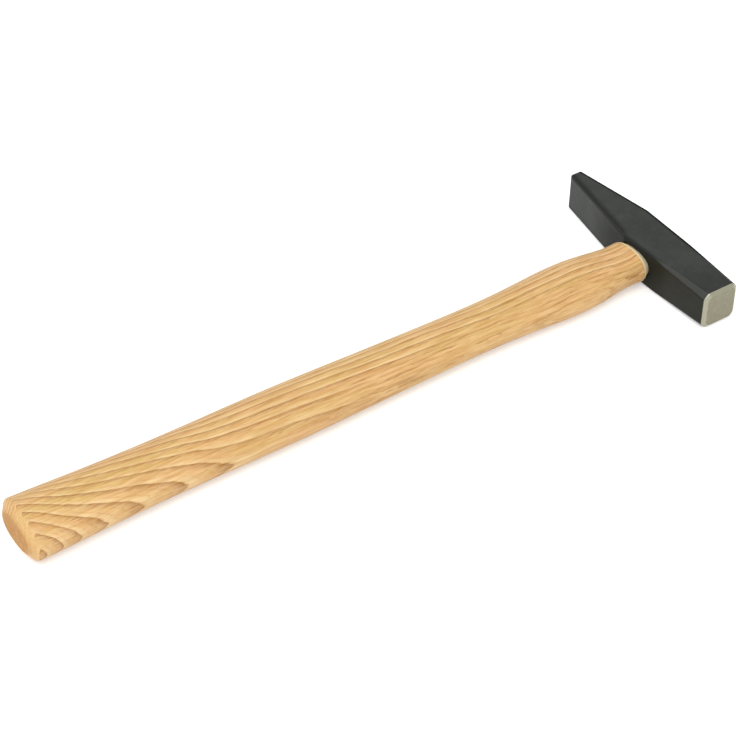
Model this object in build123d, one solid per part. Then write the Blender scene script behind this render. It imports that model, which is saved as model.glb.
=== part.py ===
from build123d import *
import os
from math import cos, pi, sin

# Cross peen hammer of the 100 g class: a forged steel head on an ash handle, held by
# a wooden wedge and a steel ring wedge.
#
# Frame: +X runs along the handle from the grip to the head, +Y along the head from the
# face to the pein, +Z across the head. The origin is on the head's lower cheek, straight
# below the point where the handle's axis crosses the head.
# Millimetres throughout.

# ---- Head ----
HEAD_LENGTH = 82.2
FACE_TO_EYE = 37.0  # striking face to the middle of the eye
HEAD_WIDTH = 14.7  # cheek to cheek, the same from the eye to the pein
FACE_SIZE = 14.6  # the square face, flat to flat
EYE_NEAR = -8.15  # underside of the head at the eye, where the handle enters
EYE_FAR = 8.7  # top of the head at the eye
FACE_CHAMFER = 1.2
FACE_CORNER = 1.9  # the head's long edges are flats, this wide on each side at the face
BODY_CORNER = 0.75  # and this wide on the rest of the head
FACE_CORNER_ROUND = 1.4  # rounding where such a flat meets the sides
BODY_CORNER_ROUND = 0.8
CORNER_RUN_OUT = 25.5  # the face's large flats fade to the body's over this length
NEAR_BREAK = 5.85  # where the pein's taper starts on the underside
FAR_BREAK = 12.7  # and where it starts on the top
PEIN_NEAR = -1.2  # the pein's edge lies a little above the handle's middle plane
PEIN_FAR = 4.0
PEIN_ROUND = 1.9
PEIN_END_ROUND = 1.1  # rounding at both ends of the pein's edge

# ---- Eye: a squarish oval hole, narrowest at its middle ----
EYE_MOUTH = (7.9, 4.8)  # half length along Y and half width along Z, 10 mm from the middle
EYE_WAIST = (7.4, 4.3)
EYE_FLARE_REACH = 10.0
EYE_RIM = 0.5  # countersink round both mouths

# ---- Handle ----
HANDLE_LENGTH = 259.9
TENON_PROUD = 0.7  # the tenon's end stands this far out of the top of the head
TENON_SLACK = 0.02  # the tenon is this much smaller than the eye all round
OVAL_POWER = 2.35  # 2 is an ellipse, more is squarer
BUTT_CHAMFER = 3.4  # how much smaller the butt's end is, all round
BUTT_CHAMFER_LENGTH = 2.2
SHOULDER_GAP = 0.15  # between the shoulder and the underside of the head
SHOULDER_CHAMFER = 0.9  # how much smaller the shoulder's end is, all round
SHOULDER_CHAMFER_LENGTH = 2.0
BUTT_HALF = (12.05, 8.4)
NECK_HALF = (9.15, 6.15)
# Distance from the butt, half width along Y, half thickness along Z
GRIP_STATIONS = [
    (8.3, 11.85, 8.3),
    (31.7, 11.0, 7.7),
    (66.8, 10.7, 7.45),
    (96.1, 10.85, 7.5),
    (127.3, 10.2, 7.0),
    (154.6, 9.6, 6.55),
    (179.0, 9.4, 6.35),
    (195.6, 10.05, 6.75),
    (212.1, 10.9, 7.2),
    (225.8, 9.9, 6.65),
]

# ---- Wedges ----
WOOD_WEDGE_DEPTH = 12.6
WOOD_WEDGE_THICK = 2.6
WOOD_WEDGE_THIN = 0.8
RING_DEPTH = 8.0
RING_TOP_RADIUS = 3.9
RING_TIP_RADIUS = 3.3
RING_BORE_RADIUS = 2.9
KERF_PAST_WEDGE = 1.5  # the saw cut goes a little deeper than the wedge

MIDDLE = HEAD_WIDTH / 2
FACE_Y = -FACE_TO_EYE
PEIN_Y = HEAD_LENGTH - FACE_TO_EYE
NECK_Y = FACE_Y + CORNER_RUN_OUT
TENON_END = EYE_FAR + TENON_PROUD
BUTT_X = TENON_END - HANDLE_LENGTH
SHOULDER_X = EYE_NEAR - SHOULDER_GAP
OVAL_POINTS = 24
CLEAR = 30.0  # half size of the blocks that only cut
TINY = 0.01


def between(y, start, end):
    """The value at y on the straight line through two (y, value) points."""
    share = (y - start[0]) / (end[0] - start[0])
    return start[1] + share * (end[1] - start[1])


def underside(y):
    """X of the side of the head that the handle enters."""
    if y < NEAR_BREAK:
        return between(y, (FACE_Y, -FACE_SIZE / 2), (NEAR_BREAK, EYE_NEAR))
    return between(y, (NEAR_BREAK, EYE_NEAR), (PEIN_Y, PEIN_NEAR))


def topside(y):
    """X of the side of the head where the tenon's end shows."""
    if y < FAR_BREAK:
        return between(y, (FACE_Y, FACE_SIZE / 2), (FAR_BREAK, EYE_FAR))
    return between(y, (FAR_BREAK, EYE_FAR), (PEIN_Y, PEIN_FAR))


def cheek_width(y):
    if y < NECK_Y:
        return between(y, (FACE_Y, FACE_SIZE), (NECK_Y, HEAD_WIDTH))
    return HEAD_WIDTH


def head_section(y, corner, rounding, inset=0.0):
    """The head cut across its length: a rectangle whose corners are flats, softened where they start and end."""
    near = underside(y) + inset
    far = topside(y) - inset
    rectangle = Rectangle(far - near, cheek_width(y) - 2 * inset)
    octagon = chamfer(rectangle.vertices(), corner)
    outline = fillet(octagon.vertices(), rounding)
    plane = Plane(origin=((near + far) / 2, y, MIDDLE), x_dir=(1, 0, 0), z_dir=(0, 1, 0))
    return plane * outline


def side_outline():
    """The head seen along Z, with the pein's edge rounded."""
    outline = Polygon(
        (underside(FACE_Y), FACE_Y),
        (topside(FACE_Y), FACE_Y),
        (EYE_FAR, FAR_BREAK),
        (PEIN_FAR, PEIN_Y),
        (PEIN_NEAR, PEIN_Y),
        (EYE_NEAR, NEAR_BREAK),
        align=None,
    )
    edge = [v for v in outline.vertices() if abs(v.Y - PEIN_Y) < TINY]
    return Pos(0, 0, MIDDLE) * extrude(fillet(edge, PEIN_ROUND), CLEAR, both=True)


def top_outline():
    """The head seen along X, with both ends of the pein's edge rounded."""
    rectangle = Rectangle(HEAD_LENGTH, HEAD_WIDTH)
    pein_end = [v for v in rectangle.vertices() if v.X > 0]
    outline = fillet(pein_end, PEIN_END_ROUND)
    centre = (0, FACE_Y + HEAD_LENGTH / 2, MIDDLE)
    plane = Plane(origin=centre, x_dir=(0, 1, 0), z_dir=(1, 0, 0))
    return extrude(plane * outline, CLEAR, both=True)


def oval(x, half_y, half_z):
    """A squarish oval across the handle's axis."""
    points = []
    for i in range(OVAL_POINTS):
        angle = 2 * pi * i / OVAL_POINTS
        across = abs(cos(angle)) ** (2 / OVAL_POWER)
        up = abs(sin(angle)) ** (2 / OVAL_POWER)
        y = half_y * across if cos(angle) > 0 else -half_y * across
        z = half_z * up if sin(angle) > 0 else -half_z * up
        points.append(Vector(x, y, MIDDLE + z))
    return Face(Wire(Edge.make_spline(points, periodic=True)))


def slab(start_x, end_x):
    """Everything between two planes across the handle's axis."""
    thickness = end_x - start_x
    return Pos((start_x + end_x) / 2, 0, MIDDLE) * Box(thickness, 2 * CLEAR, 2 * CLEAR)


def smaller(half_sizes, margin):
    return (half_sizes[0] - margin, half_sizes[1] - margin)


def eye_filling(margin=0.0):
    """The space in the eye as a solid that runs out of both mouths, less a margin."""
    mouth = smaller(EYE_MOUTH, margin)
    waist = smaller(EYE_WAIST, margin)
    reach = EYE_FLARE_REACH
    return loft([oval(-reach, *mouth), oval(0, *waist), oval(reach, *mouth)])


def tenon_blank():
    return eye_filling(TENON_SLACK) & slab(SHOULDER_X, TENON_END)


def eye_rim(x, outward):
    """The countersink round the mouth of the eye at x. outward is 1 or -1, the way that the mouth faces."""
    outer = oval(x + outward * EYE_RIM, *smaller(EYE_MOUTH, -2 * EYE_RIM))
    inner = oval(x - outward * 2 * EYE_RIM, *smaller(EYE_MOUTH, EYE_RIM))
    return loft([outer, inner], ruled=True)


def make_head():
    body_corner = (BODY_CORNER, BODY_CORNER_ROUND)
    sections = [
        head_section(FACE_Y, FACE_CORNER - FACE_CHAMFER / 2, FACE_CORNER_ROUND, FACE_CHAMFER),
        head_section(FACE_Y + FACE_CHAMFER, FACE_CORNER, FACE_CORNER_ROUND),
        head_section(NECK_Y, *body_corner),
        head_section(NEAR_BREAK, *body_corner),
        head_section(FAR_BREAK, *body_corner),
        head_section(PEIN_Y, *body_corner),
    ]
    body = loft(sections, ruled=True)
    body = body & side_outline() & top_outline()
    body -= eye_filling()
    body -= eye_rim(EYE_NEAR, -1)
    body -= eye_rim(EYE_FAR, 1)
    return body


def make_grip():
    """The handle outside the head: a long swelling, a waist and a swell before the shoulder."""
    butt_start = BUTT_X + BUTT_CHAMFER_LENGTH
    shoulder_start = SHOULDER_X - SHOULDER_CHAMFER_LENGTH
    stations = [oval(butt_start, *BUTT_HALF)]
    for run, half_y, half_z in GRIP_STATIONS:
        stations.append(oval(BUTT_X + run, half_y, half_z))
    stations.append(oval(shoulder_start, *NECK_HALF))
    butt_oval = oval(BUTT_X, *smaller(BUTT_HALF, BUTT_CHAMFER))
    shoulder_oval = oval(SHOULDER_X, *smaller(NECK_HALF, SHOULDER_CHAMFER))
    butt = loft([butt_oval, stations[0]], ruled=True)
    shoulder = loft([stations[-1], shoulder_oval], ruled=True)
    return loft(stations) + butt + shoulder


def wedge_block(length, thick, thin):
    """A taper across the tenon, wide at the tenon's end."""
    outline = Polygon(
        (TENON_END, -thick / 2),
        (TENON_END, thick / 2),
        (TENON_END - length, thin / 2),
        (TENON_END - length, -thin / 2),
        align=None,
    )
    plane = Plane(origin=(0, 0, MIDDLE), x_dir=(1, 0, 0), z_dir=(0, -1, 0))
    return extrude(plane * outline, CLEAR, both=True)


def ring_cone(tip_radius, top_radius):
    """A cone round the tenon's middle, from the ring's sharp end to the tenon's end."""
    plane = Plane(origin=(TENON_END - RING_DEPTH / 2, 0, MIDDLE), z_dir=(1, 0, 0))
    return plane * Cone(tip_radius, top_radius, RING_DEPTH)


def make_ring_wedge():
    outside = ring_cone(RING_TIP_RADIUS, RING_TOP_RADIUS)
    return outside - ring_cone(RING_BORE_RADIUS - TINY, RING_BORE_RADIUS)


def make_wooden_wedge():
    block = wedge_block(WOOD_WEDGE_DEPTH, WOOD_WEDGE_THICK, WOOD_WEDGE_THIN)
    return (block & tenon_blank()) - make_ring_wedge()


def make_handle():
    tenon = tenon_blank()
    tenon -= wedge_block(WOOD_WEDGE_DEPTH, WOOD_WEDGE_THICK, WOOD_WEDGE_THIN)
    cut_length = WOOD_WEDGE_DEPTH + KERF_PAST_WEDGE
    tenon -= wedge_block(cut_length, WOOD_WEDGE_THIN, WOOD_WEDGE_THIN)
    tenon -= make_ring_wedge()
    return make_grip() + tenon


if __name__ == "__main__":
    os.makedirs("parts", exist_ok=True)
    pieces = {
        "hammer_head": make_head(),
        "handle": make_handle(),
        "wooden_wedge": make_wooden_wedge(),
        "ring_wedge": make_ring_wedge(),
    }
    for name, piece in pieces.items():
        print(name, piece.is_valid, len(piece.solids()), round(piece.volume, 1))
        export_step(piece, f"parts/{name}.step")
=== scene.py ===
from math import cos, pi, radians, sin
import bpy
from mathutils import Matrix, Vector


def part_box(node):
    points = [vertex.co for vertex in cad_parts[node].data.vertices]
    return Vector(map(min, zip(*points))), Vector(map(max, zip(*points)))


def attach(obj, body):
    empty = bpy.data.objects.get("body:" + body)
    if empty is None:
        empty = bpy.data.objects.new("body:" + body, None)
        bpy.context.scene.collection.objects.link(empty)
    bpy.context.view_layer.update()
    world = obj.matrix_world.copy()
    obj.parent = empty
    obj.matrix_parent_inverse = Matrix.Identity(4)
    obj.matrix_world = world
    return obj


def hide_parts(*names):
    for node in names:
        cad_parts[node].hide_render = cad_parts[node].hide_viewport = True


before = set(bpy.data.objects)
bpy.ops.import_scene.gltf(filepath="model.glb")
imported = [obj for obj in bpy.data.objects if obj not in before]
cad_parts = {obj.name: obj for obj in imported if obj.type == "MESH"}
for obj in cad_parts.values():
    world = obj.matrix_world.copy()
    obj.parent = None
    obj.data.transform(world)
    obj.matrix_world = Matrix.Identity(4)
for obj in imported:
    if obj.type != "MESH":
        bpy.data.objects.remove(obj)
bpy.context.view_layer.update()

from types import SimpleNamespace

import bmesh
import bpy
import numpy as np
from mathutils import Matrix, Vector
from mathutils.bvhtree import BVHTree

MM = 0.001

# ---- Places, from the frame ----
HEAD_LOW, HEAD_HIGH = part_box("hammer_head")
HANDLE_LOW, HANDLE_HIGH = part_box("handle")
WEDGE_LOW, WEDGE_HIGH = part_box("wooden_wedge")
RING_LOW, RING_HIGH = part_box("ring_wedge")
FACE_Y = HEAD_LOW[1]
PEIN_Y = HEAD_HIGH[1]
MIDDLE_Z = (HEAD_LOW[2] + HEAD_HIGH[2]) / 2
BUTT_X = HANDLE_LOW[0]
TENON_END_X = HANDLE_HIGH[0]
UNDERSIDE_X = HEAD_LOW[0]


# ======================================================================
# Materials
# ======================================================================

class Graph:
    """A material and short names for the nodes that it is built from. Its places are in millimetres."""

    def __init__(self, name):
        self.material = bpy.data.materials.new(name)
        self.material.use_nodes = True
        self.tree = self.material.node_tree
        self.tree.nodes.clear()
        self.output = self.tree.nodes.new("ShaderNodeOutputMaterial")
        self.shader = self.tree.nodes.new("ShaderNodeBsdfPrincipled")
        self.tree.links.new(self.shader.outputs[0], self.output.inputs["Surface"])
        coordinates = self.tree.nodes.new("ShaderNodeTexCoord").outputs
        self.place = self.vector_math("SCALE", coordinates["Object"], scale=1 / MM)
        self.x, self.y, self.z = self.split(self.place)
        self.facing_x, self.facing_y, self.facing_z = self.split(coordinates["Normal"])

    def split(self, vector):
        node = self.tree.nodes.new("ShaderNodeSeparateXYZ")
        self.tree.links.new(vector, node.inputs[0])
        return node.outputs

    def feed(self, socket, value):
        if isinstance(value, bpy.types.NodeSocket):
            self.tree.links.new(value, socket)
        elif value is not None:
            socket.default_value = value

    def vector_math(self, operation, a, b=None, scale=None):
        node = self.tree.nodes.new("ShaderNodeVectorMath")
        node.operation = operation
        self.feed(node.inputs[0], a)
        self.feed(node.inputs[1], b)
        self.feed(node.inputs[3], scale)
        return node.outputs[0]

    def math(self, operation, a, b=None):
        node = self.tree.nodes.new("ShaderNodeMath")
        node.operation = operation
        self.feed(node.inputs[0], a)
        self.feed(node.inputs[1], b)
        return node.outputs[0]

    def add(self, a, b):
        return self.math("ADD", a, b)

    def minus(self, a, b):
        return self.math("SUBTRACT", a, b)

    def times(self, a, b):
        return self.math("MULTIPLY", a, b)

    def over(self, a, b):
        return self.math("DIVIDE", a, b)

    def squared(self, value):
        return self.math("POWER", value, 2.0)

    def larger(self, a, b):
        return self.math("MAXIMUM", a, b)

    def size_of(self, value):
        return self.math("ABSOLUTE", value)

    def rest(self, share):
        """What a share leaves of 1."""
        return self.math("SUBTRACT", 1.0, share)

    def span(self, value, low, high, to_low=0.0, to_high=1.0, smooth=True):
        """value carried from low..high to to_low..to_high, and held there outside."""
        node = self.tree.nodes.new("ShaderNodeMapRange")
        node.interpolation_type = "SMOOTHSTEP" if smooth else "LINEAR"
        for socket, number in zip(node.inputs, (value, low, high, to_low, to_high)):
            self.feed(socket, number)
        return node.outputs[0]

    def until(self, value, low, high, smooth=True):
        """1 up to low, falling to 0 at high."""
        return self.span(value, low, high, 1.0, 0.0, smooth)

    def fade(self, value, low, high, power):
        """1 up to low, falling to 0 at high, faster at first."""
        return self.math("POWER", self.until(value, low, high, smooth=False), power)

    def noise(self, stretch, detail=2.0, roughness=0.5, offset=None):
        """Noise with a stretch for each axis: small numbers make long marks."""
        node = self.tree.nodes.new("ShaderNodeTexNoise")
        vector = self.vector_math("MULTIPLY", self.place, stretch)
        if offset is not None:
            vector = self.vector_math("ADD", vector, offset)
        self.feed(node.inputs["Vector"], vector)
        node.inputs["Scale"].default_value = 1.0
        node.inputs["Detail"].default_value = detail
        node.inputs["Roughness"].default_value = roughness
        return node.outputs[0]

    def chance(self, value):
        """A random number from 0 to 1, the same wherever value is the same."""
        node = self.tree.nodes.new("ShaderNodeTexWhiteNoise")
        node.noise_dimensions = "1D"
        self.feed(node.inputs["W"], value)
        return node.outputs["Value"]

    def blend(self, share, a, b):
        node = self.tree.nodes.new("ShaderNodeMix")
        node.data_type = "RGBA"
        self.feed(node.inputs[0], share)
        self.feed(node.inputs[6], a)
        self.feed(node.inputs[7], b)
        return node.outputs[2]

    def painted(self, colour, coats):
        """The colour under coats laid in turn, each given by where it lies, its density and its colour."""
        for where, density, coat in coats:
            colour = self.blend(self.times(where, density), colour, coat)
        return colour

    def curve(self, value, points, low, high):
        """A smooth curve through (from, to) points. low and high bound what it gives."""
        start, end = points[0][0], points[-1][0]
        node = self.tree.nodes.new("ShaderNodeFloatCurve")
        line = node.mapping.curves[0]
        shares = [((x - start) / (end - start), (y - low) / (high - low)) for x, y in points]
        line.points[0].location = shares[0]
        line.points[1].location = shares[-1]
        for share in shares[1:-1]:
            line.points.new(*share)
        node.mapping.update()
        self.feed(node.inputs["Value"], self.span(value, start, end, smooth=False))
        return self.span(node.outputs[0], 0.0, 1.0, low, high, smooth=False)

    def bump(self, height, depth, below=None):
        """A normal with a relief of depth millimetres, laid on the one below if there is one."""
        node = self.tree.nodes.new("ShaderNodeBump")
        node.inputs["Strength"].default_value = 1.0
        node.inputs["Distance"].default_value = depth * MM
        self.feed(node.inputs["Height"], height)
        self.feed(node.inputs["Normal"], below)
        return node.outputs[0]

    def blend_normals(self, share, a, b):
        node = self.tree.nodes.new("ShaderNodeMix")
        node.data_type = "VECTOR"
        self.feed(node.inputs[0], share)
        self.feed(node.inputs[4], a)
        self.feed(node.inputs[5], b)
        return node.outputs[1]

    def finish(self, **sockets):
        for name, value in sockets.items():
            self.feed(self.shader.inputs[name.replace("_", " ")], value)
        return self.material


def rgb(red, green, blue):
    """A display colour, 0 to 255, as the linear colour that a shader takes."""
    linear = [((c / 255 + 0.055) / 1.055) ** 2.4 for c in (red, green, blue)]
    return (*linear, 1.0)


# ---- The handle's wood, in millimetres ----
# How far the growth rings drift along the handle: distance from the butt, drift
GRAIN_DRIFT = [
    (0, -7.9), (8, -6.2), (16, -4.7), (25, -3.7), (40, -2.6), (57, -1.2), (74, 0.3), (98, 0.8),
    (127, 0.9), (161, 1.0), (179, 1.4), (195, 1.8), (212, 2.3), (226, 2.0), (241, 1.5), (260, 1.1),
]
DRIFT_LOW, DRIFT_HIGH = -10.0, 3.0
RING_TURN = radians(32)  # which way the rings face, from +Y towards -Z
RING_BEND = 0.0626  # how round they are, 1/mm
RING_WIDTH = 1.453
RING_START = 3.7
ROW_WIDTH = 1.25  # from one straight line to the next, beside the neck
STRIPE_WIDTH = 1.7  # from one stripe to the next, on the butt's chamfer
BUTT_CHAMFER_LENGTH = 2.2
BUTT_FLAT_HALF = (8.65, 5.0)  # half sizes of the butt's flat end along Y and Z
SHOULDER_CHAMFER_LENGTH = 2.0
SHOULDER_GAP = 0.15
SHOULDER_RUN = (UNDERSIDE_X - BUTT_X) / MM - SHOULDER_GAP  # from the butt to the shoulder's end


def ash_rings(g, run, z, shiver):
    """The number of the growth ring at each point, with the share of it that has passed."""
    across = g.add(g.times(g.y, cos(RING_TURN)), g.times(z, -sin(RING_TURN)))
    beside = g.add(g.times(g.y, sin(RING_TURN)), g.times(z, cos(RING_TURN)))
    bent = g.times(g.squared(beside), -RING_BEND)
    drift = g.curve(run, GRAIN_DRIFT, DRIFT_LOW, DRIFT_HIGH)
    wander = g.minus(g.noise((0.03, 0.22, 0.22)), 0.5)
    unevenness = g.add(g.times(wander, 0.34), g.times(shiver, 0.2))
    depth = g.add(g.add(g.add(across, bent), drift), unevenness)
    return g.over(g.add(depth, RING_START), -RING_WIDTH)


def neck_rows(g, shiver):
    """Straight lines along the handle, broken here and there."""
    rows = g.math("FRACT", g.add(g.over(g.y, ROW_WIDTH), g.times(shiver, 0.9)))
    rows = g.times(g.span(rows, 0.0, 0.06), g.fade(rows, 0.05, 0.6, 1.5))
    return g.times(rows, g.span(g.noise((0.05, 0.6, 0.6)), 0.35, 0.6, 0.15, 0.8))


def ash_grain(g, run, z):
    """How strongly each mark of the grain shows, from 0 to 1."""
    shiver = g.minus(g.noise((0.16, 1.1, 1.1)), 0.5)
    rings = ash_rings(g, run, z, shiver)
    phase = g.math("FRACT", rings)
    # Beside the neck the rings are cut lengthwise, which leaves straight lines
    lengthwise = g.times(g.span(run, 100, 135), g.until(g.y, -6.5, -3.5))
    rows = neck_rows(g, shiver)

    # Early wood: a sharp dark line where a ring starts, fading outward
    line = g.times(g.fade(phase, 0.03, 0.32, 1.2), 0.72)
    shade = g.times(g.fade(phase, 0.03, 0.6, 2.0), 0.28)
    early = g.times(g.span(phase, 0.0, 0.04), g.add(line, shade))
    ring_strength = g.span(g.chance(g.math("FLOOR", rings)), 0.0, 1.0, 0.8, 1.0, smooth=False)
    along = g.span(g.noise((0.05, 0.5, 0.5)), 0.3, 0.7, 0.75, 1.05)
    early = g.times(g.times(early, ring_strength), along)
    early = g.blend(lengthwise, early, rows)
    # Faint lines, three to a ring
    thirds = g.math("FRACT", g.add(g.times(rings, 3.0), g.times(shiver, 1.2)))
    minor = g.times(g.until(thirds, 0.0, 0.45), g.span(g.noise((0.06, 0.8, 0.8)), 0.42, 0.6))
    # Late wood: a thin pale strip just before the next dark line
    pale = g.times(g.span(phase, 0.6, 0.94), g.until(phase, 0.985, 1.0))
    pale = g.times(pale, g.rest(lengthwise))

    # Pores: short dark dashes, crowded in the early wood
    crowded = g.times(g.span(phase, 0.0, 0.05), g.until(phase, 0.15, 0.6))
    crowded = g.blend(lengthwise, crowded, rows)
    pores = g.span(g.noise((0.22, 3.4, 3.4), roughness=0.6), 0.5, 0.62)
    dashes = g.times(pores, g.span(crowded, 0.0, 1.0, 0.2, 1.0))
    fine = g.span(g.noise((0.4, 7.0, 7.0), roughness=0.6), 0.52, 0.66)
    fine = g.times(fine, g.span(phase, 0.0, 0.8, 0.8, 0.3))
    fibres = g.span(g.noise((0.14, 1.9, 1.9), 3.0, 0.65), 0.34, 0.66, smooth=False)
    streaks = g.noise((0.07, 1.0, 1.0), roughness=0.6, offset=(9.3, 2.1, 5.7))
    streaks = g.span(streaks, 0.36, 0.64, smooth=False)
    return SimpleNamespace(
        shiver=shiver, early=early, minor=minor, pale=pale,
        dashes=dashes, fine=fine, fibres=fibres, streaks=streaks,
    )


def ash_colour(g, grain):
    """Pale wood in broad patches and tints, with the marks of the grain on it."""
    patches = g.noise((0.02, 0.12, 0.12), offset=(3.1, 7.7, 1.3))
    tints = g.noise((0.09, 0.8, 0.8), 3.0, 0.6, offset=(5.5, 1.9, 8.3))
    # Painted light and shade: the near side a little lighter, the far side darker
    painted_light_near_side = g.until(g.y, -9.5, -2.5)
    painted_shade_far_side = g.span(g.y, 2.0, 8.0)
    colour = g.blend(g.span(patches, 0.3, 0.7), rgb(195, 149, 98), rgb(190, 157, 94))
    return g.painted(colour, [
        (g.span(tints, 0.52, 0.68), 0.45, rgb(198, 140, 92)),
        (g.until(tints, 0.32, 0.48), 0.45, rgb(178, 152, 78)),
        (painted_light_near_side, 0.4, rgb(198, 163, 112)),
        (painted_shade_far_side, 0.35, rgb(170, 140, 100)),
        (grain.pale, 0.8, rgb(206, 178, 130)),
        (grain.minor, 0.4, rgb(152, 106, 46)),
        (grain.early, 1.0, rgb(120, 70, 10)),
        (grain.dashes, 0.55, rgb(118, 74, 22)),
        (grain.fine, 0.42, rgb(126, 82, 26)),
        (grain.fibres, 0.4, rgb(207, 180, 138)),
        (grain.streaks, 0.4, rgb(156, 108, 40)),
    ])


def butt_colour(g, grain, run, z, butt_end, colour):
    """The butt's chamfer, cut across the fibres, and its darker flat end. The two run into each other."""
    at_butt = g.until(run, BUTT_CHAMFER_LENGTH - 0.15, BUTT_CHAMFER_LENGTH + 0.15)
    chamfer = g.times(at_butt, g.rest(butt_end))
    across_chamfer = g.over(g.add(g.y, g.times(run, -0.4)), STRIPE_WIDTH)
    stripes = g.math("FRACT", g.add(across_chamfer, g.times(grain.shiver, 0.5)))
    stripes = g.times(g.until(stripes, 0.0, 0.6), g.span(g.y, -1.0, 3.0))
    cut = g.blend(g.times(grain.fibres, 0.6), rgb(190, 150, 92), rgb(206, 176, 130))
    cut = g.blend(g.times(stripes, 0.75), cut, rgb(158, 104, 42))

    half_y, half_z = BUTT_FLAT_HALF
    from_middle = g.add(g.squared(g.over(g.y, half_y)), g.squared(g.over(z, half_z)))
    blotches = g.span(g.noise((0.3, 0.5, 0.5), 3.0, 0.6), 0.35, 0.65, 0.45, 0.8)
    tan_place = g.times(g.times(g.until(from_middle, 0.7, 1.7), at_butt), blotches)
    tan = g.blend(g.times(grain.dashes, 0.6), rgb(166, 114, 54), rgb(134, 86, 34))
    return g.painted(colour, [(chamfer, 0.8, cut), (tan_place, 1.0, tan)])


def head_end_colour(g, grain, run, colour):
    """The shoulder's pale chamfer, a painted highlight, a pale blue-grey line round its rim, and end grain
    where the tenon shows.
    """
    before_tenon = g.until(run, SHOULDER_RUN + 0.3, SHOULDER_RUN + 0.6)
    chamfer_start = SHOULDER_RUN - SHOULDER_CHAMFER_LENGTH
    # Painted highlight: the shoulder's chamfer is pale cream; a pale blue-grey line follows just before the
    # tenon
    shoulder = g.times(g.span(run, chamfer_start - 0.1, chamfer_start + 0.1), before_tenon)
    pale_blue_grey_line = g.times(g.span(run, SHOULDER_RUN - 1.0, SHOULDER_RUN - 0.7), before_tenon)
    tenon_end = g.span(g.facing_x, 0.9, 0.96)
    open_pores = g.span(g.noise((0.2, 3.0, 3.0), roughness=0.6), 0.52, 0.62)
    end_grain = g.blend(g.times(grain.early, 0.8), rgb(176, 128, 76), rgb(128, 82, 36))
    end_grain = g.blend(g.times(open_pores, 0.5), end_grain, rgb(104, 66, 30))
    return g.painted(colour, [
        (shoulder, 0.75, rgb(222, 204, 160)),
        (pale_blue_grey_line, 0.85, rgb(196, 198, 182)),
        (tenon_end, 0.9, end_grain),
    ])


def ash_material():
    g = Graph("ash")
    run = g.minus(g.x, BUTT_X / MM)
    z = g.minus(g.z, MIDDLE_Z / MM)
    grain = ash_grain(g, run, z)
    butt_end = g.until(g.facing_x, -0.985, -0.95)
    colour = ash_colour(g, grain)
    colour = butt_colour(g, grain, run, z, butt_end, colour)
    colour = head_end_colour(g, grain, run, colour)
    relief = g.add(g.times(grain.dashes, -1.0), g.times(grain.fibres, 0.35))
    return g.finish(
        Base_Color=colour,
        Roughness=g.span(grain.early, 0.0, 1.0, 0.42, 0.55, smooth=False),
        Normal=g.bump(relief, 0.03),
        Specular_IOR_Level=g.span(butt_end, 0.0, 1.0, 0.2, 0.04),
        Coat_Weight=g.span(butt_end, 0.0, 1.0, 0.04, 0.0),
        Coat_Roughness=0.35,
    )


# ---- The head's own lines, in millimetres ----
FACE_END = FACE_Y / MM
PEIN_END = PEIN_Y / MM
EYE_NEAR = UNDERSIDE_X / MM  # the underside, where the handle enters
EYE_FAR = HEAD_HIGH[0] / MM  # the top
FACE_FAR = 7.3  # the top at the face, where the head is a little smaller
NEAR_BREAK = 5.85  # where the pein's taper starts on the underside
FAR_BREAK = 12.7  # and where it starts on the top
PEIN_NEAR = -1.2  # the underside and the top at the pein's edge
PEIN_FAR = 4.0
FACE_GROUND = 1.22  # how far the bare metal runs from the face
PEIN_GROUND = 0.65  # and from the pein's edge


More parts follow.
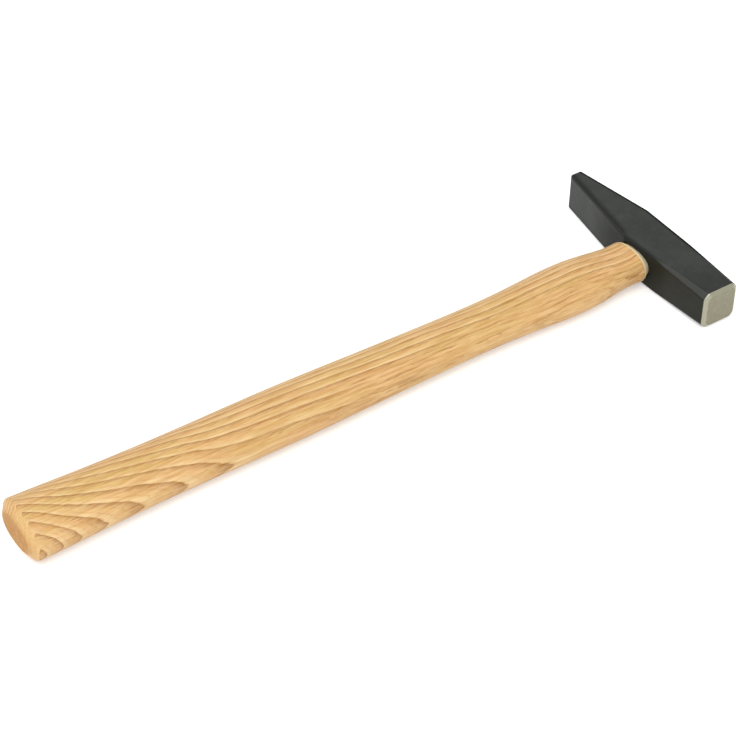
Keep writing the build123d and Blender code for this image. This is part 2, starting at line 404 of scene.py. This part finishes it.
def lacquer(g):
    """Black lacquer: its colour, with painted light, shade and reflection on it, and how dull it is."""
    cloud = g.noise((0.11, 0.11, 0.11), 3.0, 0.55)
    mottle = g.noise((0.5, 0.5, 0.5), 3.0, 0.6)
    side = g.span(g.size_of(g.facing_x), 0.8, 0.92)  # the underside and the top
    # Painted light: the pein's tapered sides a little lighter, by their facing
    bevel = g.times(g.times(side, g.span(g.facing_y, 0.06, 0.14)), g.span(g.y, 10.0, 34.0, 0.1, 0.75))
    # Painted shade: darker on the underside and top by the eye, where the handle shades them
    painted_shade_by_eye = g.times(side, g.span(g.size_of(g.add(g.y, -4.0)), 6.0, 26.0, 0.6, 0.0))
    # Painted shade: darker towards the face
    painted_shade_by_face = g.span(g.y, -34.0, -16.0, 0.4, 0.0)
    # Painted reflection and shade: an olive-dark tint on the underside and top of the poll
    painted_reflection_poll_side = g.times(side, g.until(g.y, -14.0, -2.0))

    # Painted shadow: the cheek darkens towards the underside of the pein
    above_underside = g.add(g.x, g.span(g.y, NEAR_BREAK, PEIN_END, -EYE_NEAR, -PEIN_NEAR, smooth=False))
    painted_shadow_by_underside = g.times(g.until(above_underside, 1.2, 3.0), g.span(g.y, 4.0, 9.0))
    painted_shadow_by_underside = g.times(painted_shadow_by_underside, g.span(g.facing_z, 0.7, 0.9, 0.0, 0.5))
    # Painted shade: dark rims along the cheek's far edge and round the bottom
    far_edge = g.add(g.x, g.span(g.y, FAR_BREAK, PEIN_END, 0.0, EYE_FAR - PEIN_FAR, smooth=False))
    far_edge = g.add(far_edge, g.span(g.y, FACE_END, FAR_BREAK, EYE_FAR - FACE_FAR, 0.0, smooth=False))
    far_rim_shade = g.times(g.span(far_edge, 6.7, 7.5), g.span(g.facing_z, 0.5, 0.7))
    low_rim_shade = g.times(g.until(g.z, 0.9, 1.7), side)
    rim = g.larger(far_rim_shade, low_rim_shade)
    # Painted shade on the flats between cheek and side, and a painted highlight on a paler one near the
    # face
    corner_flat_shade = g.span(g.size_of(g.times(g.facing_x, g.facing_z)), 0.22, 0.42)
    poll_flat_highlight = g.times(g.times(corner_flat_shade, g.until(g.y, -16.0, -9.0)), g.until(g.facing_x, -0.1, 0.1))

    colour = g.blend(g.span(cloud, 0.3, 0.7), rgb(32, 34, 32), rgb(43, 45, 41))
    colour = g.painted(colour, [
        (g.span(mottle, 0.5, 0.75), 0.5, rgb(52, 54, 51)),
        (bevel, 1.0, rgb(43, 46, 44)),
        (painted_shade_by_eye, 1.0, rgb(24, 26, 24)),
        (painted_shade_by_face, 1.0, rgb(28, 29, 27)),
        (painted_shadow_by_underside, 1.0, rgb(20, 22, 20)),
        (painted_reflection_poll_side, 0.9, rgb(20, 21, 9)),
        (g.larger(rim, corner_flat_shade), 0.8, rgb(14, 14, 13)),
        (poll_flat_highlight, 0.85, rgb(54, 56, 53)),
    ])
    # Where shade is painted, the lacquer is also made duller, so that the painted shade shows nearly black
    dull = g.larger(g.larger(rim, painted_shadow_by_underside), g.larger(painted_shade_by_eye, g.times(painted_shade_by_face, 0.5)))
    grit = g.noise((3.2, 3.2, 3.2))
    roughness = g.add(g.span(cloud, 0.3, 0.7, 0.42, 0.52), g.times(grit, 0.06))
    peel = g.bump(g.noise((1.0, 1.0, 1.0)), 0.018)
    normal = g.bump(g.noise((0.16, 0.16, 0.16)), 0.12, peel)
    return SimpleNamespace(colour=colour, dull=dull, roughness=roughness, normal=normal)


def ground_steel(g, face):
    """Bare steel with fine scratches, and a painted highlight: lighter on the chamfer round the face."""
    scratches = g.noise((14.0, 0.5, 0.9), roughness=0.6)
    smudges = g.noise((0.35, 0.35, 0.35))
    # Painted highlight: the chamfer round the face lighter
    chamfer = g.times(g.span(g.facing_y, -0.97, -0.85), face)
    colour = g.painted(g.blend(smudges, rgb(124, 121, 101), rgb(147, 143, 123)), [
        (g.span(scratches, 0.4, 0.7), 0.3, rgb(112, 108, 91)),
        (chamfer, 0.55, rgb(172, 171, 152)),
    ])
    roughness = g.span(scratches, 0.3, 0.7, 0.34, 0.48)
    return SimpleNamespace(colour=colour, roughness=roughness, normal=g.bump(scratches, 0.012))


def head_material():
    """Lacquer, with bare steel on the face, on its chamfer and at the very edge of the pein."""
    g = Graph("lacquer_and_ground_steel")
    at = g.add(g.y, g.times(g.minus(g.noise((0.9, 0.9, 0.9)), 0.5), 0.12))
    face = g.until(at, FACE_END + FACE_GROUND - 0.06, FACE_END + FACE_GROUND + 0.06)
    pein = g.span(at, PEIN_END - PEIN_GROUND - 0.1, PEIN_END - PEIN_GROUND + 0.1)
    bare = g.larger(face, pein)
    skin = lacquer(g)
    steel = ground_steel(g, face)
    roughness = g.add(g.times(skin.roughness, g.rest(bare)), g.times(steel.roughness, bare))
    return g.finish(
        Base_Color=g.blend(bare, skin.colour, steel.colour),
        Metallic=bare,
        Roughness=roughness,
        Normal=g.blend_normals(bare, skin.normal, steel.normal),
        Specular_IOR_Level=g.span(skin.dull, 0.0, 1.0, 0.21, 0.01, smooth=False),
    )


def wedge_material():
    g = Graph("beech")
    fibres = g.noise((0.3, 2.2, 3.5), 3.0, 0.6)
    flecks = g.noise((0.8, 1.0, 6.0))
    colour = g.blend(fibres, rgb(206, 158, 110), rgb(178, 126, 82))
    colour = g.blend(g.span(flecks, 0.58, 0.7, 0.0, 0.5), colour, rgb(140, 92, 56))
    return g.finish(Base_Color=colour, Roughness=0.7, Normal=g.bump(fibres, 0.06), Specular_IOR_Level=0.3)


def ring_material():
    g = Graph("turned_steel")
    dull = g.noise((0.6, 0.6, 0.6), 3.0)
    turned = g.noise((9.0, 0.4, 0.4))
    colour = g.blend(dull, rgb(150, 148, 142), rgb(182, 180, 174))
    roughness = g.span(dull, 0.3, 0.7, 0.28, 0.42)
    return g.finish(Base_Color=colour, Metallic=1.0, Roughness=roughness, Normal=g.bump(turned, 0.01))


def floor_material():
    """White paper, which glows a little so that the shadow on it stays faint."""
    g = Graph("floor")
    paper = g.noise((0.4, 0.4, 0.4), 3.0)
    return g.finish(
        Base_Color=g.blend(paper, rgb(224, 224, 224), rgb(228, 228, 228)),
        Roughness=0.9,
        Specular_IOR_Level=0.1,
        Emission_Color=rgb(255, 255, 255),
        Emission_Strength=0.3,
    )


# ======================================================================
# Shapes
# ======================================================================

def new_object(name, mesh, material):
    mesh.materials.clear()
    mesh.materials.append(material)
    piece = bpy.data.objects.new(name, mesh)
    bpy.context.scene.collection.objects.link(piece)
    return piece


def baked(piece):
    """The piece's mesh with its modifiers applied."""
    graph = bpy.context.evaluated_depsgraph_get()
    graph.update()
    return bpy.data.meshes.new_from_object(piece.evaluated_get(graph))


def discard(*pieces):
    for piece in pieces:
        bpy.data.objects.remove(piece)


def copy_of(node):
    """A closed copy of a CAD node, whose faces are joined along their edges."""
    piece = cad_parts[node].copy()
    piece.data = piece.data.copy()
    piece.parent = None
    bpy.context.scene.collection.objects.link(piece)
    solid = bmesh.new()
    solid.from_mesh(piece.data)
    bmesh.ops.remove_doubles(solid, verts=solid.verts, dist=0.001 * MM)
    solid.to_mesh(piece.data)
    solid.free()
    return piece


HEAD_VOXEL = 0.22 * MM
HEAD_SOFTENING_PASSES = 8


def make_head():
    """The head with its edges softened by forging and lacquer."""
    rough = copy_of("hammer_head")
    remesh = rough.modifiers.new("remesh", "REMESH")
    remesh.mode = "VOXEL"
    remesh.voxel_size = HEAD_VOXEL
    soften = rough.modifiers.new("soften", "SMOOTH")
    soften.factor = 0.5
    soften.iterations = HEAD_SOFTENING_PASSES
    mesh = baked(rough)
    discard(rough)
    mesh.shade_smooth()
    return new_object("head_forging", mesh, head_material())


AROUND = 144
STATION_STEP = 0.5 * MM
END_INSET = 0.01 * MM  # the first and last rings lie just inside the handle's ends
RAY_START = 40 * MM  # from the axis, well outside the handle
RAY_SLIPS = (0.0, 0.003 * MM, -0.003 * MM)  # tried in turn, where a ray runs exactly between two faces
SAW_CUT_DROP = 0.9  # a radius that drops below this share of the last one lies in the saw cut
CAP_RINGS = 14
EDGE_PASSES = 1
GRIP_PASSES = 60
AROUND_PASSES = 8
GRIP_FROM_BUTT = 4.5 * MM  # the grip is smoothed between its ends, which keep their chamfers
GRIP_FROM_HEAD = 3.0 * MM


def eased(grid, passes, axis, mask=None):
    """Moves each point towards the mean of its two neighbours along one axis of the grid."""
    for _ in range(passes):
        if axis == 1:
            mean = (np.roll(grid, 1, 1) + np.roll(grid, -1, 1)) / 2
            grid = (grid + mean) / 2
        else:
            inner = (grid[:-2] + grid[2:]) / 2
            moved = (grid[1:-1] + inner) / 2
            keep = 1 if mask is None else mask[1:-1, None, None]
            grid[1:-1] += (moved - grid[1:-1]) * keep
    return grid


def reach(tree, x, angle):
    """How far the surface is from the handle's axis, met by a ray from outside. 0 if the ray finds none."""
    out = Vector((0, cos(angle), sin(angle)))
    axis_point = Vector((x, 0, MIDDLE_Z))
    for slip in RAY_SLIPS:
        shift = Vector((slip, 0, 0))
        hit = tree.ray_cast(axis_point + shift + out * RAY_START, -out)[0]
        if hit is not None:
            return (hit - axis_point - shift).length
    return 0.0


def handle_grid():
    """Points laid over the CAD handle, ring after ring from the butt to the tenon's end."""
    corners, faces = [], []
    for node in ("handle", "wooden_wedge"):
        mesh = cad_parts[node].data
        faces += [tuple(i + len(corners) for i in p.vertices) for p in mesh.polygons]
        corners += [v.co.copy() for v in mesh.vertices]
    tree = BVHTree.FromPolygons(corners, faces)
    steps = int((TENON_END_X - BUTT_X) / STATION_STEP)
    xs = np.linspace(BUTT_X + END_INSET, TENON_END_X - END_INSET, steps)
    angles = [2 * pi * j / AROUND for j in range(AROUND)]
    radii = np.array([[reach(tree, x, angle) for angle in angles] for x in xs])
    for i in range(1, steps):
        if xs[i] > UNDERSIDE_X:
            in_saw_cut = radii[i] < SAW_CUT_DROP * radii[i - 1]
            radii[i] = np.where(in_saw_cut, radii[i - 1], radii[i])
    across = radii * np.cos(angles)
    upward = radii * np.sin(angles) + MIDDLE_Z
    return np.stack([np.broadcast_to(xs[:, None], radii.shape), across, upward], -1)


def capped(grid):
    """The grid with rings added that close both ends flat."""
    middle = np.array([0, 0, MIDDLE_Z])
    shares = [(k + 0.5) / CAP_RINGS for k in range(CAP_RINGS)]

    def cap(ring):
        centre = middle + [ring[0, 0], 0, 0]
        return [centre + (ring - centre) * share for share in shares]

    return np.array(cap(grid[0]) + list(grid) + cap(grid[-1])[::-1])


def grid_mesh(name, grid):
    rows, columns, _ = grid.shape
    faces = []
    for i in range(rows - 1):
        for j in range(columns):
            k = (j + 1) % columns
            faces.append((i * columns + j, i * columns + k, (i + 1) * columns + k, (i + 1) * columns + j))
    faces.append(tuple(range(columns))[::-1])
    faces.append(tuple(range((rows - 1) * columns, rows * columns)))
    mesh = bpy.data.meshes.new(name)
    mesh.from_pydata([tuple(p) for p in grid.reshape(-1, 3)], [], faces)
    mesh.update()
    return mesh


def revolved(name, profile):
    """A ring about the handle's axis, from a closed outline of (x, radius) points."""
    points, faces = [], []
    for i in range(AROUND):
        angle = 2 * pi * i / AROUND
        points += [(x, r * cos(angle), MIDDLE_Z + r * sin(angle)) for x, r in profile]
    count = len(profile)
    for i in range(AROUND):
        here, there = i * count, (i + 1) % AROUND * count
        for j in range(count):
            k = (j + 1) % count
            faces.append((here + j, here + k, there + k, there + j))
    mesh = bpy.data.meshes.new(name)
    mesh.from_pydata(points, [], faces)
    return mesh


PAST_END = 1.0 * MM  # the cutters run this far out of the tenon, so that they cut cleanly
WEDGE_THIN = 0.8 * MM
RING_TIP_RADIUS = 3.3 * MM
RING_BORE_RADIUS = 2.9 * MM


def wedge_pocket():
    """A cutter of the wooden wedge's taper, wider than the handle."""
    thick = WEDGE_HIGH[2] - WEDGE_LOW[2]
    growth = (thick - WEDGE_THIN) / (WEDGE_HIGH[0] - WEDGE_LOW[0])
    wide = thick + growth * PAST_END
    ends = ((WEDGE_LOW[0], WEDGE_THIN / 2), (WEDGE_HIGH[0] + PAST_END, wide / 2))
    reach_y = 2 * WEDGE_HIGH[1]
    points = []
    for x, half in ends:
        for y, z in ((-reach_y, -half), (reach_y, -half), (reach_y, half), (-reach_y, half)):
            points.append((x, y, MIDDLE_Z + z))
    faces = [(3, 2, 1, 0), (4, 5, 6, 7)]
    faces += [(i, (i + 1) % 4, (i + 1) % 4 + 4, i + 4) for i in range(4)]
    mesh = bpy.data.meshes.new("wedge_pocket")
    mesh.from_pydata(points, [], faces)
    return mesh


def ring_pocket():
    """A cutter of the ring wedge's shape."""
    start, end = RING_LOW[0], RING_HIGH[0]
    top = (RING_HIGH[1] - RING_LOW[1]) / 2
    growth = (top - RING_TIP_RADIUS) / (end - start)
    outer = [(end + PAST_END, top + growth * PAST_END), (start, RING_TIP_RADIUS)]
    inner = [(start, RING_BORE_RADIUS), (end + PAST_END, RING_BORE_RADIUS)]
    return revolved("ring_pocket", outer + inner)


def make_handle():
    """The handle on an even grid, with its grip smoothed and pockets cut for the wedges."""
    grid = handle_grid()
    xs = grid[:, 0, 0]
    grip = (xs > BUTT_X + GRIP_FROM_BUTT) & (xs < UNDERSIDE_X - GRIP_FROM_HEAD)
    grid = eased(grid, GRIP_PASSES, 0, grip)
    grid = eased(grid, AROUND_PASSES, 1)
    grid = eased(capped(grid), EDGE_PASSES, 0)
    blank = new_object("blank", grid_mesh("handle_wood", grid), ash_material())
    cutters = []
    for pocket in (wedge_pocket(), ring_pocket()):
        cutter = bpy.data.objects.new("cutter", pocket)
        bpy.context.scene.collection.objects.link(cutter)
        cutters.append(cutter)
        cut = blank.modifiers.new("pocket", "BOOLEAN")
        cut.object = cutter
        cut.operation = "DIFFERENCE"
        cut.solver = "EXACT"
    mesh = baked(blank)
    material = blank.data.materials[0]
    discard(blank, *cutters)
    mesh.set_sharp_from_angle(angle=radians(50))
    return new_object("handle_wood", mesh, material)


WORN_EDGE = 0.12 * MM


def dress_wedges():
    """The wedges are the CAD's own, with materials and worn edges."""
    for node, material in (("wooden_wedge", wedge_material()), ("ring_wedge", ring_material())):
        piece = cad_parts[node]
        piece.data.materials.clear()
        piece.data.materials.append(material)
        bevel = piece.modifiers.new("worn_edges", "BEVEL")
        bevel.width = WORN_EDGE
        bevel.segments = 2
        bevel.limit_method = "ANGLE"
        bevel.angle_limit = radians(40)


head = make_head()
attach(head, "root")
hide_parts("hammer_head")

handle = make_handle()
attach(handle, "root")
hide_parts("handle")

dress_wedges()

# ======================================================================
# Floor, light and camera
# ======================================================================

FLOOR_SIZE = 6.0
FLOOR_CLEARANCE = 0.05 * MM
BUTT_REST = 3 * MM  # from the butt's end, where the handle touches the floor


def make_floor():
    """The hammer lies on its butt and on the head's lower cheek, so the floor slopes by a hair."""
    butt = Vector((BUTT_X + BUTT_REST, 0, HANDLE_LOW[2]))
    cheek = Vector((0, 0, HEAD_LOW[2]))
    rise = (cheek.z - butt.z) / (cheek.x - butt.x)
    half = FLOOR_SIZE / 2
    corners = []
    for x, y in ((-half, -half), (half, -half), (half, half), (-half, half)):
        corners.append((x, y, cheek.z + (x - cheek.x) * rise - FLOOR_CLEARANCE))
    mesh = bpy.data.meshes.new("floor")
    mesh.from_pydata(corners, [], [(0, 1, 2, 3)])
    floor = new_object("floor", mesh, floor_material())


LIT_POINT = Vector((-0.1, 0, 0))  # near the middle of the hammer
# Name, direction from the hammer, distance, size, power in watts
SOFTBOXES = [
    ("key", (-0.5, -0.7, 1.3), 1.3, 1.0, 12),
    ("back", (-0.4, 0.85, 0.55), 1.2, 0.8, 2.5),
]


def softbox(name, direction, distance, size, power):
    """A square light that faces the middle of the hammer."""
    lamp = bpy.data.lights.new(name, "AREA")
    lamp.shape = "SQUARE"
    lamp.size = size
    lamp.energy = power
    box = bpy.data.objects.new(name, lamp)
    away = Vector(direction).normalized()
    box.location = LIT_POINT + away * distance
    box.rotation_euler = away.to_track_quat("Z", "Y").to_euler()
    bpy.context.scene.collection.objects.link(box)


def make_light():
    world = bpy.data.worlds.new("studio")
    bpy.context.scene.world = world
    world.use_nodes = True
    background = world.node_tree.nodes["Background"]
    background.inputs["Color"].default_value = (1, 1, 1, 1)
    background.inputs["Strength"].default_value = 1.0
    for light in SOFTBOXES:
        softbox(*light)


CAMERA_AZIMUTH = radians(-34.75)
CAMERA_ELEVATION = radians(40.44)
CAMERA_ROLL = radians(0.51)
CAMERA_DISTANCE = 771.57 * MM
CAMERA_AIM = (-99.35 * MM, -41.73 * MM)  # from the eye's centre, to the right and up in the view
CAMERA_LENS = 107.06
CAMERA_SENSOR = 36


def make_camera():
    a, e = CAMERA_AZIMUTH, CAMERA_ELEVATION
    back = Vector((sin(a) * cos(e), -cos(a) * cos(e), sin(e)))
    right = Vector((cos(a), sin(a), 0))
    up = back.cross(right)
    aim = Vector((0, 0, MIDDLE_Z)) + right * CAMERA_AIM[0] + up * CAMERA_AIM[1]
    place = aim + back * CAMERA_DISTANCE
    turned_right = right * cos(CAMERA_ROLL) + up * sin(CAMERA_ROLL)
    turned_up = up * cos(CAMERA_ROLL) - right * sin(CAMERA_ROLL)
    lens = bpy.data.cameras.new("camera")
    lens.lens = CAMERA_LENS
    lens.sensor_width = CAMERA_SENSOR
    lens.clip_start = 0.01
    camera = bpy.data.objects.new("camera", lens)
    axes = Matrix((turned_right, turned_up, back)).transposed()
    camera.matrix_world = Matrix.Translation(place) @ axes.to_4x4()
    bpy.context.scene.collection.objects.link(camera)
    bpy.context.scene.camera = camera


make_floor()
make_light()
make_camera()
bpy.context.scene.view_settings.view_transform = "Standard"
